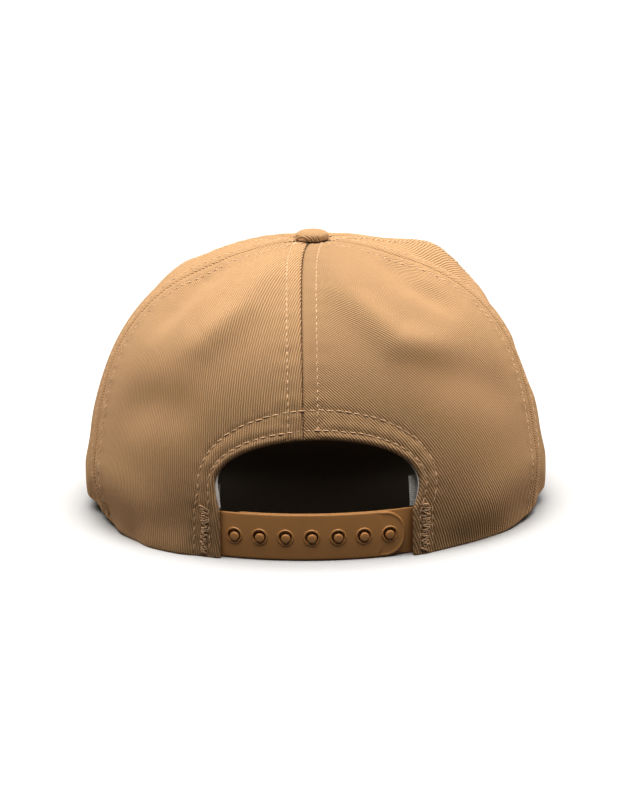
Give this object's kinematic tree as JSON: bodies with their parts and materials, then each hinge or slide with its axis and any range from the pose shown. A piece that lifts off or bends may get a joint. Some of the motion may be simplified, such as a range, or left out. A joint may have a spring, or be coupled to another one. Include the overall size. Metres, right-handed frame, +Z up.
{
  "type": "baseball cap",
  "caption": "Tan twill baseball cap with a wide front panel, covered button, stitched visor and a moulded snap strap across an arched rear opening.",
  "frame": {"origin": "middle of the head opening, on the surface that the cap stands on, rim and visor down", "axes": "+Z up through the crown, +X to the wearer's left, -Y forwards along the visor, so the strap is at +Y"},
  "size_m": [0.191, 0.2455, 0.1164],
  "materials": {
    "twill": "cotton twill, tan",
    "thread": "sewing thread, light tan",
    "tape": "woven tape, brown",
    "buckram": "stiff open weave, dark",
    "sweatband": "cotton twill, dark brown",
    "backing": "non-woven backing, off-white",
    "label": "woven label, blank, white",
    "board": "moulded board",
    "metal": "stamped",
    "strap": "moulded, satin, brown"
  },
  "bodies": {
    "crown": {"back_panel_left": "twill", "back_panel_right": "twill", "bar_tack_left": "thread", "bar_tack_right": "thread", "blank_label": "label", "button_cap": "metal", "button_cover": "twill", "button_stem": "metal", "button_washer": "metal", "front_buckram": "buckram", "front_panel": "twill", "hole_strap_tab": "strap", "opening_facing": "backing", "seam_tape_back": "tape", "seam_tape_front_left": "tape", "seam_tape_front_right": "tape", "seam_tape_side_left": "tape", "seam_tape_side_right": "tape", "side_panel_left": "twill", "side_panel_right": "twill", "stud_strap_tab": "strap", "sweatband": "sweatband", "sweatband_backing": "backing", "visor_board": "board", "visor_top_cloth": "twill", "visor_under_cloth": "twill"},
    "hole_strap": {"hole_strap": "strap"},
    "stud_strap": {"stud_strap": "strap"}
  },
  "joints": [
    {"name": "hole_strap_flex", "type": "hinge", "parent": "crown", "child": "hole_strap", "pos_m": [0.0382, 0.07696, 0.0098], "axis": [0, 0, -1], "range_deg": [0, 60], "stiffness_Nm_per_rad": 0.02},
    {"name": "stud_strap_flex", "type": "hinge", "parent": "crown", "child": "stud_strap", "pos_m": [-0.0382, 0.07535, 0.0098], "axis": [0, 0, -1], "range_deg": [0, 40], "stiffness_Nm_per_rad": 0.02}
  ]
}
